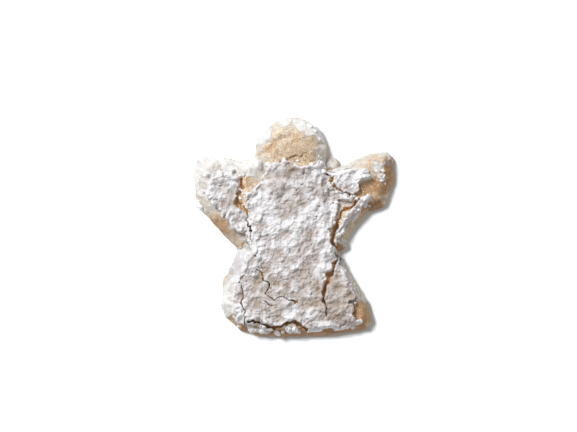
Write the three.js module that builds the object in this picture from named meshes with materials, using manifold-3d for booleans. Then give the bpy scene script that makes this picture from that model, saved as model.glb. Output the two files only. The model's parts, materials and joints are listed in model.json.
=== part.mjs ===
// An almond paste cookie cut as an angel: a round head, two raised wings and a flared gown.
// Baked soft and thick, its sides slumped outwards, and its sugar crust split as the paste rose.
// Millimetres, +Z up, +Y towards the head. It lies on z = 0, centred on the Z axis.
import * as THREE from "three";
import { mergeVertices } from "three/addons/utils/BufferGeometryUtils.js";
import Module from "manifold-3d";

// ---------------------------------------------------------------- driving dimensions
const BELLY = 2.2; // height at which the side bulges furthest out
const TUCK = 1.1; // how far the underside's edge lies inside the bulge
const CORNER = 1.2; // corner radius left by the cutter on wings and gown
const WEB = 0.6; // radius of the paste that fills the notches between the limbs
const CREASE = 0.9; // radius of the creases low on the side where limb meets limb
const TOP_CREASE = 4.5; // radius of the creases between the high tops
const CREASE_RISE = [4, 9]; // heights above the belly over which one radius passes into the other
const WAVER = 0.2; // how far the side wanders in and out
const WAVER_LENGTH = 5; // distance from one bend of the side to the next
const ROUNDNESS = 2.2; // 2 rounds the top edge as an ellipse, and more makes it squarer
const DOME_REACH = 6; // how far in from a limb's side its dome is two thirds up
const CRUST = 0.8; // how thick the sugared crust stands on the paste
const LUMP = 0.9; // height of the lumps in that crust
const LUMP_SIZE = 3.0; // distance from one lump to the next
const NAVEL = new THREE.Vector2(-1.2, 5.1); // a ray from here in any direction leaves the cookie once

// Each limb has its outline as corner centres and the radius round them, the height of its
// shoulder, how much higher the middle is domed, and how wide the slope is at its side.
const LIMBS = [
  { name: "head", corners: [[-0.9, 22.3]], radius: 10.6, height: 10.6, dome: 2.8, slope: 5.2 },
  { name: "neck lump", corners: [[10.6, 18.2]], radius: 2.6, height: 6.5, dome: 0, slope: 2.4 },
  {
    name: "left wing",
    corners: [[-28.4, 20.0], [-21.3, 19.3], [-15.9, 18.4], [-9.9, 19.4], [-8.1, -3.9], [-15.9, -5.8],
      [-24.6, 2.9], [-27.9, 7.8], [-28.6, 14.1]],
    radius: CORNER, height: 11.0, dome: 0.8, slope: 3.9,
  },
  {
    name: "right wing",
    corners: [[13.9, 16.8], [23.4, 20.7], [27.0, 21.1], [28.2, 19.9], [28.5, 14.4], [25.8, 7.4],
      [21.6, 6.0], [17.1, 1.5], [13.9, -3.6], [13.8, -5.6], [11.4, -6.9], [6.9, -3.9], [6.9, 15.6]],
    radius: CORNER, height: 10.6, dome: 0.8, slope: 3.7,
  },
  {
    name: "gown",
    corners: [[-15.6, -7.2], [-16.2, -8.7], [-20.1, -17.2], [-20.6, -23.2], [-19.2, -26.8],
      [-15.8, -29.9], [-11.1, -31.2], [-3.0, -31.6], [10.5, -31.0], [20.7, -29.4], [21.8, -27.9],
      [21.0, -24.3], [15.3, -14.7], [12.0, -8.7], [8.1, 18.6], [-8.7, 18.6]],
    radius: CORNER, height: 11.3, dome: 2.0, slope: 3.3, leftSlope: 5.7,
  },
];
const LEFT_SIDE = [-14, 0]; // x over which a left slope passes into the plain one

// Where the sugared crust stands proud, as the corners of each patch.
const CRUST_PATCHES = [
  {
    name: "gown crust",
    corners: [[-8.6, 16.8], [-4.2, 18.6], [2.4, 17.6], [7.4, 18.9], [8.4, 16.6], [10.6, 14.8], [11.0, 11.4],
      [17.2, 7.9], [12.6, 6.2], [10.6, -3.8], [12.2, -7.4], [14.2, -13.2], [18.4, -21.4], [18.4, -28.4],
      [8.2, -30.9], [2.4, -30.0], [-2.6, -31.6], [-12.0, -31.0], [-16.6, -28.2], [-17.6, -21.0],
      [-16.6, -15.6], [-11.9, -7.6], [-13.2, -3.6], [-13.0, 4.6], [-16.2, 8.4], [-11.2, 12.2]],
  },
  {
    name: "left wing crust",
    corners: [[-25.5, 14.6], [-21.9, 16.1], [-17.1, 14.0], [-18.3, 7.4], [-16.5, 5.0], [-12.6, 2.9],
      [-12.9, -4.6], [-15.6, -2.8], [-18.9, -0.4], [-24.3, 7.4], [-26.1, 10.4]],
  },
  {
    name: "right wing crust",
    corners: [[12.4, 15.6], [14.6, 17.0], [22.8, 16.4], [19.8, 13.4], [17.6, 8.8], [12.6, 11.0]],
  },
  {
    name: "right band crust",
    corners: [[19.6, 7.4], [20.4, 6.6], [18.0, 2.8], [15.4, 0.2], [12.0, -4.6], [12.2, -2.0], [13.6, 2.0],
      [16.4, 4.6]],
  },
];

// The splits in the top, each a run of x, y and the half width there.
const SPLITS = [
  {
    name: "right gown split", depth: 3.2,
    run: [[12.3, -10.0, 0.2], [11.4, -13.0, 0.45], [9.9, -15.1, 0.65], [9.5, -17.2, 0.55], [8.7, -19.0, 0.6],
      [8.4, -21.4, 0.4], [9.0, -24.1, 0.2], [9.6, -26.8, 0.2]],
  },
  {
    name: "right waist split", depth: 3.2,
    run: [[18.6, 8.2, 0.5], [16.6, 5.4, 0.75], [14.0, 4.2, 0.45], [13.0, 1.4, 0.55], [11.2, -2.4, 0.6],
      [11.6, -5.0, 0.35]],
  },
  {
    name: "right shoulder split", depth: 2.6,
    run: [[5.4, 16.9, 0.2], [8.8, 15.8, 0.4], [10.7, 14.4, 0.45], [11.6, 11.6, 0.6], [14.6, 10.3, 0.3],
      [17.8, 8.7, 0.25]],
  },
  {
    name: "left wing split", depth: 3.0,
    run: [[-16.2, 14.3, 0.35], [-16.2, 11.3, 0.7], [-16.8, 8.9, 0.65], [-17.4, 6.9, 0.7], [-15.6, 5.6, 0.7],
      [-14.4, 4.6, 0.3], [-14.1, 3.2, 0.2], [-14.1, 0.8, 0.2], [-12.9, -2.5, 0.15], [-13.2, -4.6, 0.15]],
  },
  {
    name: "hem split", depth: 3.0,
    run: [[-13.8, -28.9, 0.3], [-10.5, -29.6, 0.4], [-7.2, -30.8, 0.5], [-3.0, -30.1, 0.4], [-0.4, -28.9, 0.4],
      [1.3, -29.8, 0.65], [3.2, -31.6, 0.5]],
  },
  {
    name: "left gown split", depth: 2.2,
    run: [[-11.7, -12.7, 0.15], [-9.9, -13.9, 0.2], [-9.6, -15.4, 0.2], [-7.6, -17.6, 0.25], [-9.0, -19.9, 0.15],
      [-6.0, -22.0, 0.2], [-4.3, -21.1, 0.15], [-0.3, -22.9, 0.2], [0.9, -23.2, 0.1]],
  },
  {
    name: "neck split", depth: 1.6,
    run: [[-6.0, 17.9, 0.2], [-3.0, 19.4, 0.25], [-1.5, 20.6, 0.25], [1.5, 21.2, 0.22], [3.9, 21.8, 0.1]],
  },
  {
    name: "brow split", depth: 1.3,
    run: [[-10.5, 21.8, 0.15], [-7.6, 22.7, 0.3], [-6.3, 24.5, 0.3], [-4.0, 26.4, 0.25], [-1.5, 27.0, 0.1]],
  },
];
const FULL_DEPTH_AT = 0.45; // half width from which a split has its full depth
const SPLIT_LIP = 0.6; // height above the paste from which a split's cheeks are upright
const SPLIT_STEP = 1.4; // length of one straight piece of a torn edge
const RAGGED = 0.35; // how far torn edges jump from side to side

// How finely the surface is divided.
const COLUMNS = 128; // round the outside
const TUCK_RINGS = 3;
const SIDE_RINGS = 7;
const TOP_RINGS = 9;
const UNDERSIDE_SHARES = [0, 0.12, 0.25, 0.5, 0.75]; // where the underside's rings lie on their way out
const SIDE_BAND = 4.6; // plan width that the side's rings cover
const UNBUNCH = 1.3; // how fast columns bunched at the outline spread out on their way in
const CRUST_CELL = 1.05; // width of one cell of the crust
const PLAN = [60, 66]; // width and length of the slab that the crust is cut from
const SKY = 30; // a height above everything

// ---------------------------------------------------------------- numbers and noise
const { clamp, lerp, smoothstep } = THREE.MathUtils;

// A repeatable number from 0 to 1 for a lattice point.
function hash(ix, iy, seed) {
  let h = Math.imul(ix, 374761393) + Math.imul(iy, 668265263) + Math.imul(seed, 2147483647);
  h = Math.imul(h ^ (h >>> 13), 1274126177);
  return ((h ^ (h >>> 16)) >>> 0) / 4294967295;
}

// Smooth noise from -1 to 1, with bends about one size apart.
function noise(x, y, size, seed) {
  const [ix, iy] = [Math.floor(x / size), Math.floor(y / size)];
  const [u, v] = [x / size - ix, y / size - iy].map((t) => t * t * (3 - 2 * t));
  const low = lerp(hash(ix, iy, seed), hash(ix + 1, iy, seed), u);
  const high = lerp(hash(ix, iy + 1, seed), hash(ix + 1, iy + 1, seed), u);
  return 2 * lerp(low, high, v) - 1;
}

// The larger or smaller of two numbers, rounded over by k where they are alike.
const softMax = (a, b, k) => Math.max(a, b) + Math.max(k - Math.abs(a - b), 0) ** 2 / (4 * k);
const softMin = (a, b, k) => -softMax(-a, -b, k);

// ---------------------------------------------------------------- the cookie in plan
// Distance from a point to a closed run of corners, negative inside it.
function polygonDistance(x, y, corners) {
  let nearest = Infinity;
  let inside = false;
  corners.forEach(([ax, ay], i) => {
    const [bx, by] = corners[(i + corners.length - 1) % corners.length];
    const [ex, ey] = [bx - ax, by - ay];
    const along = clamp(((x - ax) * ex + (y - ay) * ey) / Math.max(ex * ex + ey * ey, 1e-9), 0, 1);
    nearest = Math.min(nearest, Math.hypot(x - ax - ex * along, y - ay - ey * along));
    if (ay > y !== by > y && x < (ex * (y - ay)) / ey + ax) inside = !inside;
  });
  return inside ? -nearest : nearest;
}

const limbDistance = (limb, x, y) => polygonDistance(x, y, limb.corners) - limb.radius;

// Distance to the cookie's outline, negative inside it. The side wavers a little.
function outlineDistance(x, y) {
  const nearest = LIMBS.map((limb) => limbDistance(limb, x, y)).reduce((a, b) => softMin(a, b, WEB));
  return nearest + WAVER * noise(x, y, WAVER_LENGTH, 3);
}

// How far the ray from the navel at an angle runs before it leaves the cookie, by halving.
function reach(angle) {
  let [inner, outer] = [0, PLAN[1]];
  for (let i = 0; i < 40; i++) {
    const r = (inner + outer) / 2;
    const out = outlineDistance(NAVEL.x + r * Math.cos(angle), NAVEL.y + r * Math.sin(angle)) > 0;
    [inner, outer] = out ? [inner, r] : [r, outer];
  }
  return inner;
}

// Angles that walk the outline in equal steps.
function evenSteps(count) {
  const fine = 50 * count;
  const angles = Array.from({ length: fine + 1 }, (_, i) => (2 * Math.PI * i) / fine);
  const points = angles.map((a) => new THREE.Vector2(Math.cos(a), Math.sin(a)).multiplyScalar(reach(a)));
  const walked = [0];
  points.slice(1).forEach((p, i) => walked.push(walked[i] + p.distanceTo(points[i])));
  let at = 0;
  return Array.from({ length: count }, (_, i) => {
    const target = (walked[fine] * i) / count;
    while (walked[at + 1] < target) at += 1;
    return lerp(angles[at], angles[at + 1], (target - walked[at]) / (walked[at + 1] - walked[at]));
  });
}

// ---------------------------------------------------------------- the cookie's height
// From 0 at a limb's side to 1 where its slope ends, upright at first and then rounded over.
function shoulder(depth, slope) {
  const short = 1 - clamp(depth / slope, 0, 1);
  return (1 - short ** ROUNDNESS) ** (1 / ROUNDNESS);
}

// Height of the smooth paste: the highest limb at each place, with soft creases between them.
function pasteHeight(x, y) {
  const rises = LIMBS.map((limb) => {
    const depth = Math.max(0, -limbDistance(limb, x, y));
    const slope = lerp(limb.leftSlope ?? limb.slope, limb.slope, smoothstep(x, ...LEFT_SIDE));
    const top = limb.height + limb.dome * (1 - Math.exp(-depth / DOME_REACH));
    return (top - BELLY) * shoulder(depth, slope);
  });
  const crease = (a, b) => lerp(CREASE, TOP_CREASE, smoothstep(Math.max(a, b), ...CREASE_RISE));
  return BELLY + rises.reduce((a, b) => softMax(a, b, crease(a, b))) - CREASE / 4;
}

// The bare top: paste with a fine grain and broad, low swells.
const bareTop = (x, y) => pasteHeight(x, y) + 0.16 * noise(x, y, 2.1, 11) + 0.3 * noise(x, y, 6, 12);

// The crust's top: rounded lumps, which are noise folded up at its middle, and smaller ones on them.
function crustTop(x, y) {
  const lumps = 1 - Math.abs(noise(x, y, LUMP_SIZE, 21));
  const smallLumps = noise(x, y, LUMP_SIZE / 1.9, 22);
  return pasteHeight(x, y) + CRUST + LUMP * (lumps - 0.6 + 0.28 * smallLumps);
}

// ---------------------------------------------------------------- closed surfaces
// Rings of points joined into a closed skin. Where two rings differ, one has a whole number of
// times as many points, and a ring of one point closes an end.
function skin(rings) {
  const positions = [];
  const starts = rings.map((ring) => {
    const start = positions.length / 3;
    ring.forEach((p) => positions.push(p.x, p.y, p.z));
    return start;
  });
  const faces = [];
  for (let k = 0; k + 1 < rings.length; k++) {
    const most = Math.max(rings[k].length, rings[k + 1].length);
    const at = (ring, j) => starts[ring] + Math.floor(((j % most) * rings[ring].length) / most);
    for (let j = 0; j < most; j++) {
      const [a0, a1, b0, b1] = [at(k, j), at(k, j + 1), at(k + 1, j), at(k + 1, j + 1)];
      if (a0 !== a1) faces.push(a0, a1, b1);
      if (b0 !== b1) faces.push(a0, b1, b0);
    }
  }
  const geometry = new THREE.BufferGeometry();
  geometry.setAttribute("position", new THREE.Float32BufferAttribute(positions, 3));
  geometry.setIndex(faces);
  return geometry;
}

// Fewer columns towards the middle, so that the facets stay alike in size, and one point there.
function columnsAt(share) {
  if (share === 0) return 1;
  return COLUMNS / (share > 0.5 ? 1 : share > 0.25 ? 2 : share > 0.12 ? 4 : 8);
}

// The whole cookie of bare paste as one skin, from the middle of its underside round its side to
// the middle of its top. A ring is the outline shrunk to a share of its reach from the navel. Its
// columns stand evenly along the outline at a share of 1, and evenly by angle near the navel.
function pasteSkin() {
  const steps = evenSteps(COLUMNS);
  const fan = (j) => (2 * Math.PI * j) / COLUMNS;
  const turn = steps.reduce((sum, angle, j) => sum + angle - fan(j), 0) / COLUMNS;
  const ring = (share, radiusOf, heightAt) =>
    Array.from({ length: columnsAt(share) }, (_, i) => {
      const j = (i * COLUMNS) / columnsAt(share);
      const angle = lerp(turn + fan(j), steps[j], share ** UNBUNCH);
      const r = radiusOf(reach(angle));
      const [x, y] = [NAVEL.x + r * Math.cos(angle), NAVEL.y + r * Math.sin(angle)];
      return new THREE.Vector3(x, y, heightAt(x, y));
    });
  const rings = UNDERSIDE_SHARES.map((share) => ring(share, (r) => (r - TUCK) * share, () => 0));
  for (let k = 0; k <= TUCK_RINGS; k++) {
    const round = ((k / TUCK_RINGS) * Math.PI) / 2;
    rings.push(ring(1, (r) => r - TUCK * (1 - Math.sin(round)), () => BELLY * (1 - Math.cos(round))));
  }
  for (let k = 1; k <= SIDE_RINGS; k++) {
    rings.push(ring(1, (r) => r - SIDE_BAND * (k / SIDE_RINGS) ** 2, bareTop));
  }
  for (let k = 1; k <= TOP_RINGS; k++) {
    const share = 1 - k / TOP_RINGS;
    rings.push(ring(share, (r) => (r - SIDE_BAND) * share, bareTop));
  }
  return skin(rings);
}

// A slab of crust over the whole cookie, to cut the patches from. Its foot lies deep in the paste.
function crustSlab() {
  const cells = PLAN.map((side) => Math.round(side / CRUST_CELL));
  const slab = new THREE.BoxGeometry(...PLAN, 1, ...cells, 1);
  const at = slab.attributes.position;
  for (let i = 0; i < at.count; i++) {
    at.setZ(i, at.getZ(i) > 0 ? crustTop(at.getX(i), at.getY(i)) : BELLY);
  }
  return slab;
}

// ---------------------------------------------------------------- torn edges and splits
// A run of points cut into short pieces whose ends jump from side to side.
function torn(run, seed) {
  return run.slice(1).flatMap((b, i) => {
    const a = run[i];
    const length = Math.hypot(b[0] - a[0], b[1] - a[1]);
    const pieces = Math.max(1, Math.round(length / SPLIT_STEP));
    return Array.from({ length: pieces }, (_, piece) => {
      const jump = piece === 0 ? 0 : (RAGGED * (2 * hash(i, piece, seed) - 1)) / length;
      const between = a.map((start, axis) => lerp(start, b[axis], piece / pieces));
      return [between[0] + (a[1] - b[1]) * jump, between[1] + (b[0] - a[0]) * jump, between[2]];
    });
  });
}

// An upright prism with torn sides over a patch of crust, through the whole cookie.
function patchPrism(patch, seed) {
  const edge = torn([...patch.corners, patch.corners[0]], seed);
  const shape = new THREE.Shape(edge.map(([x, y]) => new THREE.Vector2(x, y)));
  return new THREE.ExtrudeGeometry(shape, { depth: SKY, bevelEnabled: false });
}

// A blade along a split: its edge lies in the paste, and its cheeks run up past the crust.
function splitBlade(split, seed) {
  const run = [...torn(split.run, seed), split.run[split.run.length - 1]];
  const sections = run.map(([x, y, half], i) => {
    const [before, after] = [run[Math.max(0, i - 1)], run[Math.min(run.length - 1, i + 1)]];
    const across = new THREE.Vector2(before[1] - after[1], after[0] - before[0]).setLength(half);
    const paste = pasteHeight(x, y);
    const edge = paste - split.depth * Math.min(1, half / FULL_DEPTH_AT);
    const corners = [[0, edge], [1, paste + SPLIT_LIP], [1, SKY], [-1, SKY], [-1, paste + SPLIT_LIP]];
    return corners.map(([side, z]) => new THREE.Vector3(x + side * across.x, y + side * across.y, z));
  });
  const middle = (section) =>
    section.reduce((sum, p) => sum.add(p), new THREE.Vector3()).divideScalar(section.length);
  return skin([[middle(sections[0])], ...sections, [middle(sections[sections.length - 1])]]);
}

// ---------------------------------------------------------------- joining and cutting
const wasm = await Module();
wasm.setup();

// A closed geometry as a solid, turned right side out if its faces point inwards.
function solidOf(geometry) {
  const bare = geometry.clone();
  bare.deleteAttribute("normal");
  bare.deleteAttribute("uv");
  const merged = mergeVertices(bare, 1e-4);
  const vertProperties = merged.attributes.position.array;
  const make = (triVerts) => new wasm.Manifold(new wasm.Mesh({ numProp: 3, vertProperties, triVerts }));
  const triVerts = new Uint32Array(merged.index.array);
  const solid = make(triVerts);
  return solid.volume() > 0 ? solid : make(triVerts.reverse());
}

function geometryOf(solid) {
  const mesh = solid.getMesh();
  const shared = new THREE.BufferGeometry();
  shared.setAttribute("position", new THREE.BufferAttribute(mesh.vertProperties, 3));
  shared.setIndex(new THREE.BufferAttribute(mesh.triVerts, 1));
  const faceted = shared.toNonIndexed();
  faceted.computeVertexNormals();
  return faceted;
}

// ---------------------------------------------------------------- the cookie
function cookieSolid() {
  const slab = solidOf(crustSlab());
  const patches = CRUST_PATCHES.map((patch, i) => slab.intersect(solidOf(patchPrism(patch, 40 + i))));
  const baked = patches.reduce((cookie, patch) => cookie.add(patch), solidOf(pasteSkin()));
  const blades = SPLITS.map((split, i) => solidOf(splitBlade(split, 60 + i)));
  return blades.reduce((cookie, blade) => cookie.subtract(blade), baked);
}

const bakedPaste = new THREE.MeshStandardMaterial({ color: 0xe0cdb0, roughness: 0.85, metalness: 0 });
const cookie = new THREE.Mesh(geometryOf(cookieSolid()), bakedPaste);
cookie.name = "almond_cookie";

// Centre it on the Z axis and set it down on z = 0.
cookie.geometry.computeBoundingBox();
const box = cookie.geometry.boundingBox;
cookie.geometry.translate(-(box.min.x + box.max.x) / 2, -(box.min.y + box.max.y) / 2, -box.min.z);

const angelCookie = new THREE.Group();
angelCookie.add(cookie);

export default angelCookie;
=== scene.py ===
# %% [markdown]
# # An almond paste cookie under a cracked crust of powdered sugar
#
# The cookie is cut as an angel: a round head, two raised wings and a flared gown. It was rolled in
# powdered sugar and baked. The paste rose, so the dry sugar crust on top split, and golden paste
# shows in the splits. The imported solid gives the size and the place. The looks need far finer
# relief than a solid can carry, so the paste and its crust are made again here as numpy surfaces.

# %% The frame
import itertools
import json

import bmesh
import bpy
import numpy as np
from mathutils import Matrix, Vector

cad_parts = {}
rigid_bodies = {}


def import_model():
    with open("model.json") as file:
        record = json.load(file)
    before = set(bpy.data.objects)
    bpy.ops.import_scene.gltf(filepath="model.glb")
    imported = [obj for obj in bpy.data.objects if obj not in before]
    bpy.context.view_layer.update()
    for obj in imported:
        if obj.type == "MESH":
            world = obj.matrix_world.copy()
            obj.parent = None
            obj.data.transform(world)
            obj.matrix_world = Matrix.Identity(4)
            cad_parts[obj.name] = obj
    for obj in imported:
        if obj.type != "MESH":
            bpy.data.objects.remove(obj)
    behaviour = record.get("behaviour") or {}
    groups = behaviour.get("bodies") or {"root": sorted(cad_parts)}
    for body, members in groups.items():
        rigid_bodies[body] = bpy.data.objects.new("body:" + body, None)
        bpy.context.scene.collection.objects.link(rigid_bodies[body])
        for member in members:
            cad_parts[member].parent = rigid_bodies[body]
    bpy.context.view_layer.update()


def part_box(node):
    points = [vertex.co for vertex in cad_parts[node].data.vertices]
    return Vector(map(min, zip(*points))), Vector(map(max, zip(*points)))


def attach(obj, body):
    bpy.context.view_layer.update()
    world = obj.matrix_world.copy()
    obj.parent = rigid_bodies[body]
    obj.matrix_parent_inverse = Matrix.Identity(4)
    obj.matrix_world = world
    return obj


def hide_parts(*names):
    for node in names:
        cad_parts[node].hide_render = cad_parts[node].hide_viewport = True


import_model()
NODE = "almond_cookie"
MM = 0.001
low, high = (np.array(corner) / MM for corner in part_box(NODE))
print("the solid is", np.round(high - low, 1), "mm")

# %% [markdown]
# ## Chance, made repeatable
#
# Sugar and dough are rough in two ways. Broad swells come from *value noise*: a random height for
# each corner of a lattice, blended smoothly between the corners. Round crumbs that touch each other
# come from *lumps*: one dome at a random place in each lattice cell, of which the highest is kept,
# so that two domes meet in a sharp crease as real clumps do. Blender's Displace modifier with a
# texture could do the same, but arrays let the mask, the crust and the crumbs share one surface.
#
# A term such as `0.2 * noise(points, 2.1, 61)` is then a swell 0.2 mm high with bends 2.1 mm apart.
# The last number is a seed, which gives each swell a pattern of its own, the same on every run.

# %% Lattice noise and packed lumps
PRIMES = (374761393, 668265263, 1440662683)
SEED_PRIME, STIR = 2147483647, 1274126177
WORD = 0xFFFFFFFF


def cell_random(cells, seed):
    """A repeatable number from 0 to 1 for each whole-number cell: the cell's indices times large
    primes are summed, and the sum's bits are stirred twice."""
    mixed = sum(cells[..., axis].astype(np.int64) * PRIMES[axis] for axis in range(cells.shape[-1]))
    mixed = (mixed + seed * SEED_PRIME) & WORD
    mixed = ((mixed ^ (mixed >> 13)) * STIR) & WORD
    return (mixed ^ (mixed >> 16)) / WORD


def noise(points, size, seed):
    """Smooth noise from -1 to 1 with bends one size apart: the corners' random numbers, each
    weighted by the product over the axes of an S-curve of the nearness to that corner."""
    scaled = points / size
    cells = np.floor(scaled)
    part = scaled - cells
    part = part * part * (3 - 2 * part)
    total = 0
    for corner in itertools.product((0, 1), repeat=points.shape[-1]):
        weight = np.prod(np.where(corner, part, 1 - part), axis=-1)
        total = total + weight * cell_random(cells + corner, seed)
    return 2 * total - 1


def lumps(points, size, seed):
    """Round lumps from 0 to 1, packed one size apart: over a point each near lump is its height
    times the root of one minus the square of distance over radius, and the highest is kept."""
    scaled = points / size
    cells = np.floor(scaled)
    axes = range(points.shape[-1])
    highest = np.zeros(points.shape[:-1])
    for offset in itertools.product((-1, 0, 1), repeat=points.shape[-1]):
        near = cells + offset
        away = sum((scaled[..., a] - near[..., a] - cell_random(near, seed + a)) ** 2 for a in axes)
        radius = 0.7 + 0.5 * cell_random(near, seed + 5)
        height = 0.45 + 0.55 * cell_random(near, seed + 6)
        highest = np.maximum(highest, height * np.sqrt(np.clip(1 - away / radius**2, 0, 1)))
    return highest


def ramp(value, start, end):
    """An S-curve from 0 at start to 1 at end."""
    t = np.clip((value - start) / (end - start), 0, 1)
    return t * t * (3 - 2 * t)


def mix(a, b, share):
    """The blend from a to b at a share from 0 to 1."""
    return a + (b - a) * share


# %% [markdown]
# ## The cookie in plan
#
# A cutter leaves soft corners. Each limb is a polygon of corner centres, fattened by the corner's
# radius, which rounds all its corners at once. The head is one centre with a large radius. The
# limbs are joined by a smooth minimum of their distances, so that paste fills the notches between
# them. The numbers are the ones that the solid was made from, in millimetres.

# %% The limbs
CORNER = 1.2
LIMBS = {
    "head": dict(corners=[(-0.9, 22.3)], radius=10.6, height=10.6, dome=2.8, slope=5.2),
    "neck lump": dict(corners=[(10.6, 18.2)], radius=2.6, height=6.5, dome=0, slope=2.4),
    "left wing": dict(
        corners=[(-28.4, 20.0), (-21.3, 19.3), (-15.9, 18.4), (-9.9, 19.4), (-8.1, -3.9), (-15.9, -5.8),
                 (-24.6, 2.9), (-27.9, 7.8), (-28.6, 14.1)],
        radius=CORNER, height=11.0, dome=0.8, slope=3.9),
    "right wing": dict(
        corners=[(13.9, 16.8), (23.4, 20.7), (27.0, 21.1), (28.2, 19.9), (28.5, 14.4), (25.8, 7.4),
                 (21.6, 6.0), (17.1, 1.5), (13.9, -3.6), (13.8, -5.6), (11.4, -6.9), (6.9, -3.9),
                 (6.9, 15.6)],
        radius=CORNER, height=10.6, dome=0.8, slope=3.7),
    "gown": dict(
        corners=[(-15.6, -7.2), (-16.2, -8.7), (-20.1, -17.2), (-20.6, -23.2), (-19.2, -26.8),
                 (-15.8, -29.9), (-11.1, -31.2), (-3.0, -31.6), (10.5, -31.0), (20.7, -29.4),
                 (21.8, -27.9), (21.0, -24.3), (15.3, -14.7), (12.0, -8.7), (8.1, 18.6), (-8.7, 18.6)],
        radius=CORNER, height=11.3, dome=2.0, slope=3.3, left_slope=5.7),
}
LEFT_SIDE = (-14, 0)  # x over which a left slope passes into the plain one
WEB = 0.6  # radius of the paste in the notches
CREASE = 0.9  # radius of the creases where limb meets limb at the side
TOP_CREASE = 4.5  # radius of the creases between the high tops
WAVER, WAVER_LENGTH = 0.2, 5
NAVEL = np.array([-1.2, 5.1])  # a ray from here in any direction leaves the cookie once
FARTHEST, HALVINGS = 60, 30  # the range in which a ray's end is sought, and how often it is halved
OUTLINE_STEPS = 6000


def run_distance(x, y, run, closed):
    """Distance to a run of points: each point is dropped onto every straight piece, the foot is
    held between its ends, and the nearest foot counts. Also gives how far along that foot is."""
    ends = np.array(run, float)[:, :2]
    stops = np.roll(ends, -1, axis=0) if closed else ends[1:]
    nearest, place = np.full(x.shape, np.inf), np.zeros(x.shape)
    for piece, (start, stop) in enumerate(zip(ends, stops)):
        edge = stop - start
        dropped = ((x - start[0]) * edge[0] + (y - start[1]) * edge[1]) / max(edge @ edge, 1e-9)
        share = np.clip(dropped, 0, 1)
        distance = np.hypot(x - start[0] - edge[0] * share, y - start[1] - edge[1] * share)
        place = np.where(distance < nearest, piece + share, place)
        nearest = np.minimum(nearest, distance)
    return nearest, place


def polygon_distance(x, y, corners):
    """Distance to a polygon, negative inside. A point is inside when a ray from it towards +x
    crosses the sides an odd number of times."""
    inside = np.zeros(x.shape, bool)
    for (ax, ay), (bx, by) in zip(corners, corners[-1:] + corners[:-1]):
        if ay != by:
            inside ^= ((ay > y) != (by > y)) & (x < (bx - ax) * (y - ay) / (by - ay) + ax)
    distance, _ = run_distance(x, y, corners, closed=True)
    return np.where(inside, -distance, distance)


def soft_max(a, b, k):
    """The larger of two numbers, rounded over by k where they are alike."""
    return np.maximum(a, b) + np.maximum(k - np.abs(a - b), 0) ** 2 / (4 * k)


def limb_distances(x, y):
    """Distance to each limb: to the polygon of its corner centres, less the corners' radius."""
    return {
        name: polygon_distance(x, y, limb["corners"]) - limb["radius"]
        for name, limb in LIMBS.items()
    }


def plan(x, y):
    """Places in plan, as noise and lumps take them."""
    return np.stack([x, y], axis=-1)


def outline_distance(x, y):
    """Distance to the cookie's outline, negative inside: the limbs' smooth minimum, with a waver."""
    joined = None
    for distance in limb_distances(x, y).values():
        joined = distance if joined is None else -soft_max(-joined, -distance, WEB)
    return joined + WAVER * noise(plan(x, y), WAVER_LENGTH, 3)


def reach(angles):
    """How far a ray from the navel runs before it leaves the cookie, found by halving a range."""
    inner, outer = np.zeros(angles.shape), np.full(angles.shape, float(FARTHEST))
    for _ in range(HALVINGS):
        middle = (inner + outer) / 2
        out = outline_distance(NAVEL[0] + middle * np.cos(angles), NAVEL[1] + middle * np.sin(angles)) > 0
        inner, outer = np.where(out, inner, middle), np.where(out, middle, outer)
    return inner


fine_angles = np.linspace(0, 2 * np.pi, OUTLINE_STEPS + 1)
fine_reach = reach(fine_angles)
outline = NAVEL + fine_reach[:, None] * plan(np.cos(fine_angles), np.sin(fine_angles))
walked = np.r_[0, np.cumsum(np.hypot(*np.diff(outline, axis=0).T))]
outline_middle = (outline.min(axis=0) + outline.max(axis=0)) / 2
to_frame = (low + high) / 2 - np.r_[outline_middle, (low + high)[2] / 2]
print("the outline is", round(walked[-1]), "mm round")
print("to meet the solid it moves by", np.round(to_frame, 2), "mm")

# %% [markdown]
# ## Its height
#
# The side of a limb rises upright and rounds over, as a quarter of a squarish ellipse does. The
# highest limb counts at each place, with soft creases between them. Height is a plain function of
# the place in plan, so paste, crust and crumbs can all ask it where the surface is.

# %% The height of the paste
BELLY = 2.2  # height at which the side bulges furthest out
ROUNDNESS = 2.2
DOME_REACH = 6
CREASE_RISE = (4, 9)  # heights over the belly between which a crease widens to the top's
SWELL, SWELL_LENGTH = 0.3, 6


def paste_height(x, y):
    """Height of the smooth paste: for each limb the belly's height plus the rise to its domed top
    times (1 - (1 - depth / slope)^n)^(1/n), and of these the soft maximum."""
    joined = None
    for distance, limb in zip(limb_distances(x, y).values(), LIMBS.values()):
        depth = np.maximum(0, -distance)
        slope = mix(limb.get("left_slope", limb["slope"]), limb["slope"], ramp(x, *LEFT_SIDE))
        top = limb["height"] + limb["dome"] * (1 - np.exp(-depth / DOME_REACH))
        short = 1 - np.clip(depth / slope, 0, 1)
        rise = (top - BELLY) * (1 - short**ROUNDNESS) ** (1 / ROUNDNESS)
        if joined is None:
            joined = rise
        else:
            crease = mix(CREASE, TOP_CREASE, ramp(np.maximum(joined, rise), *CREASE_RISE))
            joined = soft_max(joined, rise, crease)
    return BELLY + joined - CREASE / 4 + SWELL * noise(plan(x, y), SWELL_LENGTH, 12)


print("the paste is", round(float(paste_height(*NAVEL[:, None])[0]), 1), "mm high at the navel")

# %% [markdown]
# ## Splits and torn edges
#
# In the oven the crust broke into plates. Such cracks could be sculpted or painted, but a few drawn
# lines are easier to move. Each plate is a polygon, and a split is a run of points with its half
# width at each. Both are drawn with few points, and then torn: the place that is looked up is
# shifted by noise, so that a straight edge becomes ragged at the size of the lumps. The paste has
# a split of its own below the face, and a soft crease over the brow.

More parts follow.
